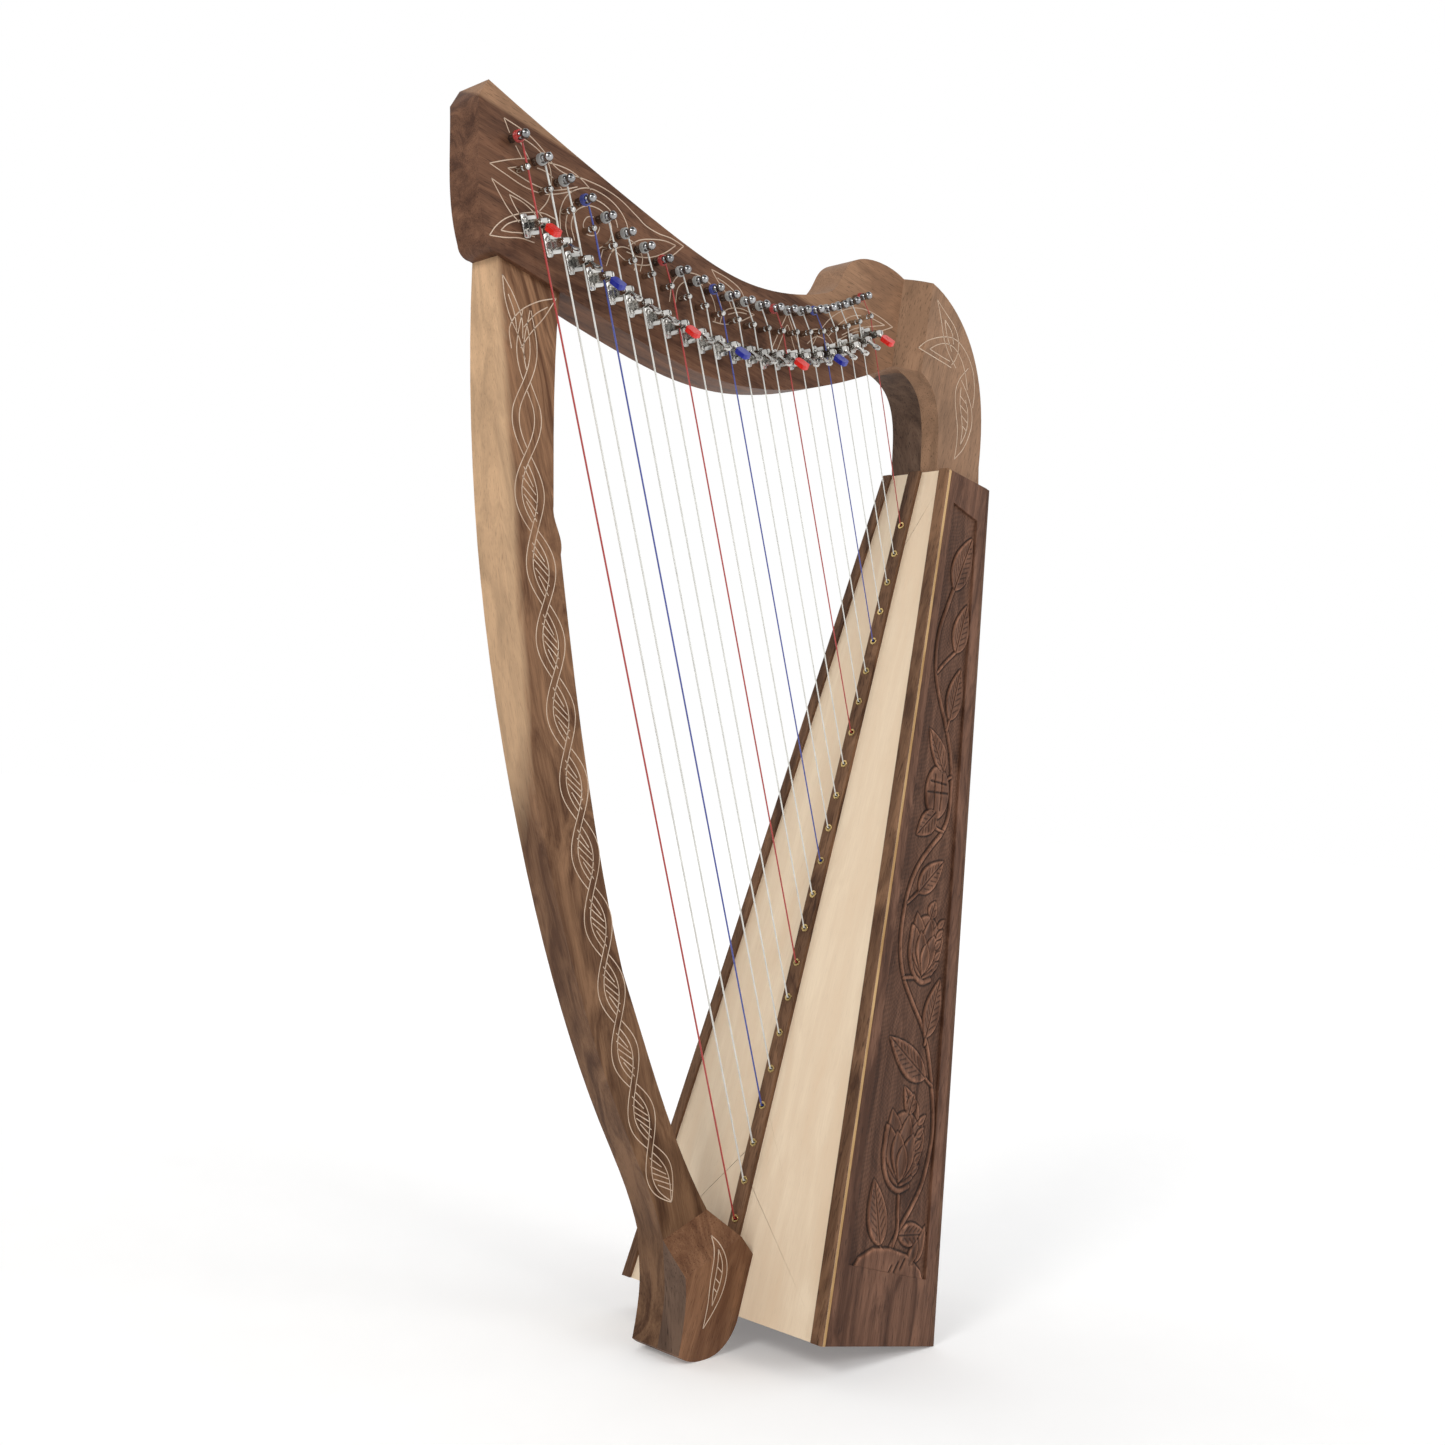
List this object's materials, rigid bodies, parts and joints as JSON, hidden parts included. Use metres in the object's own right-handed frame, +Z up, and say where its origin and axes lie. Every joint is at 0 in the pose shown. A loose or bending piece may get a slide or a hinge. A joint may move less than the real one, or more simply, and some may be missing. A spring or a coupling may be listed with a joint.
{
  "type": "lever harp",
  "caption": "Small free-standing lever harp: curved neck and pillar, tapering soundbox with carved sides, a string, tuning pin and sharping lever for every note.",
  "frame": {"origin": "centre of the harp's footprint, on the surface it stands on", "axes": "+X from the pillar towards the player, +Y to the player's right, away from the levers, and +Z up along the height"},
  "size_m": [0.4954, 0.188, 0.7777],
  "materials": {
    "walnut": "satin oiled walnut with straight grain and a pale sapwood edge",
    "carved_walnut": "satin walnut, carved",
    "soundboard_birch": "clear satin lacquer over pale birch",
    "inner_maple": "bare pale wood",
    "nickel": "polished nickel plating",
    "steel_screw": "bright zinc-plated steel",
    "brass": "polished brass",
    "nylon_string": "clear nylon, with red C strings and dark blue F strings",
    "red_sleeve": "glossy red plastic sleeve on a nickel lever",
    "blue_sleeve": "glossy blue plastic sleeve on a nickel lever"
  },
  "bodies": {
    "harp_frame": {"neck": "walnut", "pillar": "walnut", "shoulder_block": "walnut", "cheek_blocks": "walnut", "soundboard": "soundboard_birch", "soundboard_strips": "walnut", "side_panel_left": "carved_walnut", "side_panel_right": "carved_walnut", "back_panel": "walnut", "base_panel": "walnut", "inner_frame": "inner_maple", "strings": "nylon_string", "string_eyelets": "brass", "bridge_pins": "nickel", "lever_brackets": "nickel", "screws": "steel_screw"},
    "lever_01": {"lever_01": "red_sleeve"},
    "tuning_pin_01": {"tuning_pin_01": "nickel"},
    "lever_02": {"lever_02": "nickel"},
    "tuning_pin_02": {"tuning_pin_02": "nickel"},
    "lever_03": {"lever_03": "nickel"},
    "tuning_pin_03": {"tuning_pin_03": "nickel"},
    "lever_04": {"lever_04": "blue_sleeve"},
    "tuning_pin_04": {"tuning_pin_04": "nickel"},
    "lever_05": {"lever_05": "nickel"},
    "tuning_pin_05": {"tuning_pin_05": "nickel"},
    "lever_06": {"lever_06": "nickel"},
    "tuning_pin_06": {"tuning_pin_06": "nickel"},
    "lever_07": {"lever_07": "nickel"},
    "tuning_pin_07": {"tuning_pin_07": "nickel"},
    "lever_08": {"lever_08": "red_sleeve"},
    "tuning_pin_08": {"tuning_pin_08": "nickel"},
    "lever_09": {"lever_09": "nickel"},
    "tuning_pin_09": {"tuning_pin_09": "nickel"},
    "lever_10": {"lever_10": "nickel"},
    "tuning_pin_10": {"tuning_pin_10": "nickel"},
    "lever_11": {"lever_11": "blue_sleeve"},
    "tuning_pin_11": {"tuning_pin_11": "nickel"},
    "lever_12": {"lever_12": "nickel"},
    "tuning_pin_12": {"tuning_pin_12": "nickel"},
    "lever_13": {"lever_13": "nickel"},
    "tuning_pin_13": {"tuning_pin_13": "nickel"},
    "lever_14": {"lever_14": "nickel"},
    "tuning_pin_14": {"tuning_pin_14": "nickel"},
    "lever_15": {"lever_15": "red_sleeve"},
    "tuning_pin_15": {"tuning_pin_15": "nickel"},
    "lever_16": {"lever_16": "nickel"},
    "tuning_pin_16": {"tuning_pin_16": "nickel"},
    "lever_17": {"lever_17": "nickel"},
    "tuning_pin_17": {"tuning_pin_17": "nickel"},
    "lever_18": {"lever_18": "blue_sleeve"},
    "tuning_pin_18": {"tuning_pin_18": "nickel"},
    "lever_19": {"lever_19": "nickel"},
    "tuning_pin_19": {"tuning_pin_19": "nickel"},
    "lever_20": {"lever_20": "nickel"},
    "tuning_pin_20": {"tuning_pin_20": "nickel"},
    "lever_21": {"lever_21": "nickel"},
    "tuning_pin_21": {"tuning_pin_21": "nickel"},
    "lever_22": {"lever_22": "red_sleeve"},
    "tuning_pin_22": {"tuning_pin_22": "nickel"}
  },
  "joints": [
    {"name": "lever_01_flip", "type": "hinge", "parent": "harp_frame", "child": "lever_01", "pos_m": [-0.20185, -0.0144, 0.70163], "axis": [-0.9311, 0, -0.3649], "range_deg": [0, 100]},
    {"name": "tuning_pin_01_turn", "type": "hinge", "parent": "harp_frame", "child": "tuning_pin_01", "pos_m": [-0.22218, 0.01, 0.74762], "axis": [0, 1, 0], "continuous": true},
    {"name": "lever_02_flip", "type": "hinge", "parent": "harp_frame", "child": "lever_02", "pos_m": [-0.18367, -0.0144, 0.69539], "axis": [-0.9305, 0, -0.3662], "range_deg": [0, 100]},
    {"name": "tuning_pin_02_turn", "type": "hinge", "parent": "harp_frame", "child": "tuning_pin_02", "pos_m": [-0.20373, 0.01, 0.74001], "axis": [0, 1, 0], "continuous": true},
    {"name": "lever_03_flip", "type": "hinge", "parent": "harp_frame", "child": "lever_03", "pos_m": [-0.16581, -0.0144, 0.68984], "axis": [-0.93, 0, -0.3677], "range_deg": [0, 100]},
    {"name": "tuning_pin_03_turn", "type": "hinge", "parent": "harp_frame", "child": "tuning_pin_03", "pos_m": [-0.18561, 0.01, 0.73313], "axis": [0, 1, 0], "continuous": true},
    {"name": "lever_04_flip", "type": "hinge", "parent": "harp_frame", "child": "lever_04", "pos_m": [-0.14826, -0.0144, 0.685], "axis": [-0.9293, 0, -0.3692], "range_deg": [0, 100]},
    {"name": "tuning_pin_04_turn", "type": "hinge", "parent": "harp_frame", "child": "tuning_pin_04", "pos_m": [-0.16781, 0.01, 0.72697], "axis": [0, 1, 0], "continuous": true},
    {"name": "lever_05_flip", "type": "hinge", "parent": "harp_frame", "child": "lever_05", "pos_m": [-0.13102, -0.0144, 0.68085], "axis": [-0.9287, 0, -0.3708], "range_deg": [0, 100]},
    {"name": "tuning_pin_05_turn", "type": "hinge", "parent": "harp_frame", "child": "tuning_pin_05", "pos_m": [-0.15034, 0.01, 0.72155], "axis": [0, 1, 0], "continuous": true},
    {"name": "lever_06_flip", "type": "hinge", "parent": "harp_frame", "child": "lever_06", "pos_m": [-0.11409, -0.0144, 0.67741], "axis": [-0.928, 0, -0.3726], "range_deg": [0, 100]},
    {"name": "tuning_pin_06_turn", "type": "hinge", "parent": "harp_frame", "child": "tuning_pin_06", "pos_m": [-0.13317, 0.01, 0.71685], "axis": [0, 1, 0], "continuous": true},
    {"name": "lever_07_flip", "type": "hinge", "parent": "harp_frame", "child": "lever_07", "pos_m": [-0.09745, -0.0144, 0.67467], "axis": [-0.9273, 0, -0.3744], "range_deg": [0, 100]},
    {"name": "tuning_pin_07_turn", "type": "hinge", "parent": "harp_frame", "child": "tuning_pin_07", "pos_m": [-0.11632, 0.01, 0.7129], "axis": [0, 1, 0], "continuous": true},
    {"name": "lever_08_flip", "type": "hinge", "parent": "harp_frame", "child": "lever_08", "pos_m": [-0.08111, -0.0144, 0.67265], "axis": [-0.9265, 0, -0.3763], "range_deg": [0, 100]},
    {"name": "tuning_pin_08_turn", "type": "hinge", "parent": "harp_frame", "child": "tuning_pin_08", "pos_m": [-0.09977, 0.01, 0.70968], "axis": [0, 1, 0], "continuous": true},
    {"name": "lever_09_flip", "type": "hinge", "parent": "harp_frame", "child": "lever_09", "pos_m": [-0.06507, -0.0144, 0.67132], "axis": [-0.9257, 0, -0.3784], "range_deg": [0, 100]},
    {"name": "tuning_pin_09_turn", "type": "hinge", "parent": "harp_frame", "child": "tuning_pin_09", "pos_m": [-0.08353, 0.01, 0.70719], "axis": [0, 1, 0], "continuous": true},
    {"name": "lever_10_flip", "type": "hinge", "parent": "harp_frame", "child": "lever_10", "pos_m": [-0.04931, -0.0144, 0.67071], "axis": [-0.9248, 0, -0.3805], "range_deg": [0, 100]},
    {"name": "tuning_pin_10_turn", "type": "hinge", "parent": "harp_frame", "child": "tuning_pin_10", "pos_m": [-0.06758, 0.01, 0.70545], "axis": [0, 1, 0], "continuous": true},
    {"name": "lever_11_flip", "type": "hinge", "parent": "harp_frame", "child": "lever_11", "pos_m": [-0.03384, -0.0144, 0.67081], "axis": [-0.9239, 0, -0.3827], "range_deg": [0, 100]},
    {"name": "tuning_pin_11_turn", "type": "hinge", "parent": "harp_frame", "child": "tuning_pin_11", "pos_m": [-0.05194, 0.01, 0.70444], "axis": [0, 1, 0], "continuous": true},
    {"name": "lever_12_flip", "type": "hinge", "parent": "harp_frame", "child": "lever_12", "pos_m": [-0.01865, -0.0144, 0.67162], "axis": [-0.9229, 0, -0.385], "range_deg": [0, 100]},
    {"name": "tuning_pin_12_turn", "type": "hinge", "parent": "harp_frame", "child": "tuning_pin_12", "pos_m": [-0.03658, 0.01, 0.70418], "axis": [0, 1, 0], "continuous": true},
    {"name": "lever_13_flip", "type": "hinge", "parent": "harp_frame", "child": "lever_13", "pos_m": [-0.00375, -0.0144, 0.67314], "axis": [-0.9219, 0, -0.3874], "range_deg": [0, 100]},
    {"name": "tuning_pin_13_turn", "type": "hinge", "parent": "harp_frame", "child": "tuning_pin_13", "pos_m": [-0.02153, 0.01, 0.70466], "axis": [0, 1, 0], "continuous": true},
    {"name": "lever_14_flip", "type": "hinge", "parent": "harp_frame", "child": "lever_14", "pos_m": [0.01086, -0.0144, 0.67537], "axis": [-0.9209, 0, -0.3899], "range_deg": [0, 100]},
    {"name": "tuning_pin_14_turn", "type": "hinge", "parent": "harp_frame", "child": "tuning_pin_14", "pos_m": [-0.00676, 0.01, 0.70588], "axis": [0, 1, 0], "continuous": true},
    {"name": "lever_15_flip", "type": "hinge", "parent": "harp_frame", "child": "lever_15", "pos_m": [0.0252, -0.0144, 0.67832], "axis": [-0.9198, 0, -0.3925], "range_deg": [0, 100]},
    {"name": "tuning_pin_15_turn", "type": "hinge", "parent": "harp_frame", "child": "tuning_pin_15", "pos_m": [0.00771, 0.01, 0.70784], "axis": [0, 1, 0], "continuous": true},
    {"name": "lever_16_flip", "type": "hinge", "parent": "harp_frame", "child": "lever_16", "pos_m": [0.03924, -0.0144, 0.68198], "axis": [-0.9186, 0, -0.3951], "range_deg": [0, 100]},
    {"name": "tuning_pin_16_turn", "type": "hinge", "parent": "harp_frame", "child": "tuning_pin_16", "pos_m": [0.02188, 0.01, 0.71055], "axis": [0, 1, 0], "continuous": true},
    {"name": "lever_17_flip", "type": "hinge", "parent": "harp_frame", "child": "lever_17", "pos_m": [0.05301, -0.0144, 0.68635], "axis": [-0.9174, 0, -0.3979], "range_deg": [0, 100]},
    {"name": "tuning_pin_17_turn", "type": "hinge", "parent": "harp_frame", "child": "tuning_pin_17", "pos_m": [0.03576, 0.01, 0.714], "axis": [0, 1, 0], "continuous": true},
    {"name": "lever_18_flip", "type": "hinge", "parent": "harp_frame", "child": "lever_18", "pos_m": [0.06648, -0.0144, 0.69143], "axis": [-0.9162, 0, -0.4008], "range_deg": [0, 100]},
    {"name": "tuning_pin_18_turn", "type": "hinge", "parent": "harp_frame", "child": "tuning_pin_18", "pos_m": [0.04935, 0.01, 0.71819], "axis": [0, 1, 0], "continuous": true},
    {"name": "lever_19_flip", "type": "hinge", "parent": "harp_frame", "child": "lever_19", "pos_m": [0.07967, -0.0144, 0.69723], "axis": [-0.9149, 0, -0.4037], "range_deg": [0, 100]},
    {"name": "tuning_pin_19_turn", "type": "hinge", "parent": "harp_frame", "child": "tuning_pin_19", "pos_m": [0.06263, 0.01, 0.72312], "axis": [0, 1, 0], "continuous": true},
    {"name": "lever_20_flip", "type": "hinge", "parent": "harp_frame", "child": "lever_20", "pos_m": [0.09257, -0.0144, 0.70374], "axis": [-0.9135, 0, -0.4068], "range_deg": [0, 100]},
    {"name": "tuning_pin_20_turn", "type": "hinge", "parent": "harp_frame", "child": "tuning_pin_20", "pos_m": [0.07561, 0.01, 0.72879], "axis": [0, 1, 0], "continuous": true},
    {"name": "lever_21_flip", "type": "hinge", "parent": "harp_frame", "child": "lever_21", "pos_m": [0.10517, -0.0144, 0.71095], "axis": [-0.9121, 0, -0.4099], "range_deg": [0, 100]},
    {"name": "tuning_pin_21_turn", "type": "hinge", "parent": "harp_frame", "child": "tuning_pin_21", "pos_m": [0.08829, 0.01, 0.73521], "axis": [0, 1, 0], "continuous": true},
    {"name": "lever_22_flip", "type": "hinge", "parent": "harp_frame", "child": "lever_22", "pos_m": [0.11747, -0.0144, 0.71888], "axis": [-0.9107, 0, -0.4132], "range_deg": [0, 100]},
    {"name": "tuning_pin_22_turn", "type": "hinge", "parent": "harp_frame", "child": "tuning_pin_22", "pos_m": [0.10067, 0.01, 0.74236], "axis": [0, 1, 0], "continuous": true}
  ]
}
